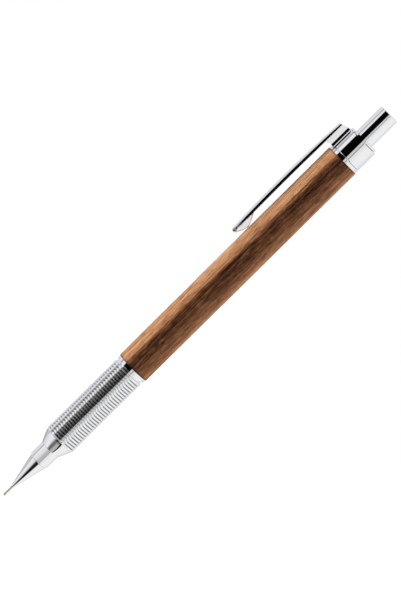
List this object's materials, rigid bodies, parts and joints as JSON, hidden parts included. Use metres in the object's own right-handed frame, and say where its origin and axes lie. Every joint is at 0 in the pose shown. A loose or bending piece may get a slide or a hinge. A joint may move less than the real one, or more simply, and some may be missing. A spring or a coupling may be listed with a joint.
{
  "type": "mechanical pencil",
  "caption": "Slim mechanical pencil with a polished ribbed metal grip, a dark turned wooden barrel, a sprung pocket clip and a push button.",
  "frame": {"origin": "the writing point: the end of the lead sleeve, on the pencil's axis", "axes": "+Z along the axis from the writing point to the push button; the pocket clip is on the -X side"},
  "size_m": [0.0128, 0.0096, 0.14],
  "materials": {
    "polished_steel": "mirror polished plating",
    "brass": "turned",
    "spring_steel": "drawn wire",
    "walnut": "oiled",
    "tank_plastic": "moulded",
    "retainer_rubber": "matte",
    "eraser_rubber": "matte",
    "graphite": "dull sheen"
  },
  "bodies": {
    "barrel": {"lead_sleeve": "brass", "tip_cone": "polished_steel", "lead_retainer": "retainer_rubber", "nose_cone": "polished_steel", "grip": "polished_steel", "front_ring": "polished_steel", "front_coupler": "brass", "barrel_liner": "brass", "wood_barrel": "walnut", "rear_coupler": "brass", "rear_ring": "polished_steel", "cap_collar": "polished_steel", "chuck_housing": "brass", "chuck_spring": "spring_steel"},
    "pusher": {"chuck": "brass", "connector": "brass", "lead_tank": "tank_plastic", "spare_leads": "graphite"},
    "ring": {"clutch_ring": "brass"},
    "lead": {"lead": "graphite"},
    "eraser": {"eraser_holder": "tank_plastic", "eraser": "eraser_rubber"},
    "button": {"push_button": "polished_steel"},
    "clip": {"clip": "polished_steel"}
  },
  "joints": [
    {"name": "button_press", "type": "slide", "parent": "barrel", "child": "pusher", "axis": [0, 0, -1], "range_m": [0, 0.003], "stiffness_N_per_m": 1000, "springref_m": -0.002, "deforming": ["chuck_spring"]},
    {"name": "clutch_slide", "type": "slide", "parent": "barrel", "child": "ring", "axis": [0, 0, -1], "range_m": [0, 0.0006]},
    {"name": "lead_feed", "type": "slide", "parent": "barrel", "child": "lead", "axis": [0, 0, -1], "range_m": [0, 0.006]},
    {"name": "eraser_pull", "type": "slide", "parent": "pusher", "child": "eraser", "axis": [0, 0, 1], "range_m": [0, 0.004]},
    {"name": "button_pull", "type": "slide", "parent": "eraser", "child": "button", "axis": [0, 0, 1], "range_m": [0, 0.013]},
    {"name": "clip_flex", "type": "hinge", "parent": "barrel", "child": "clip", "pos_m": [-0.0045, 0, 0.1301], "axis": [0, 1, 0], "range_deg": [0, 3], "stiffness_Nm_per_rad": 0.5}
  ],
  "couplings": [
    {"joint": "clutch_slide", "follows": "button_press", "ratio": 0.2}
  ]
}
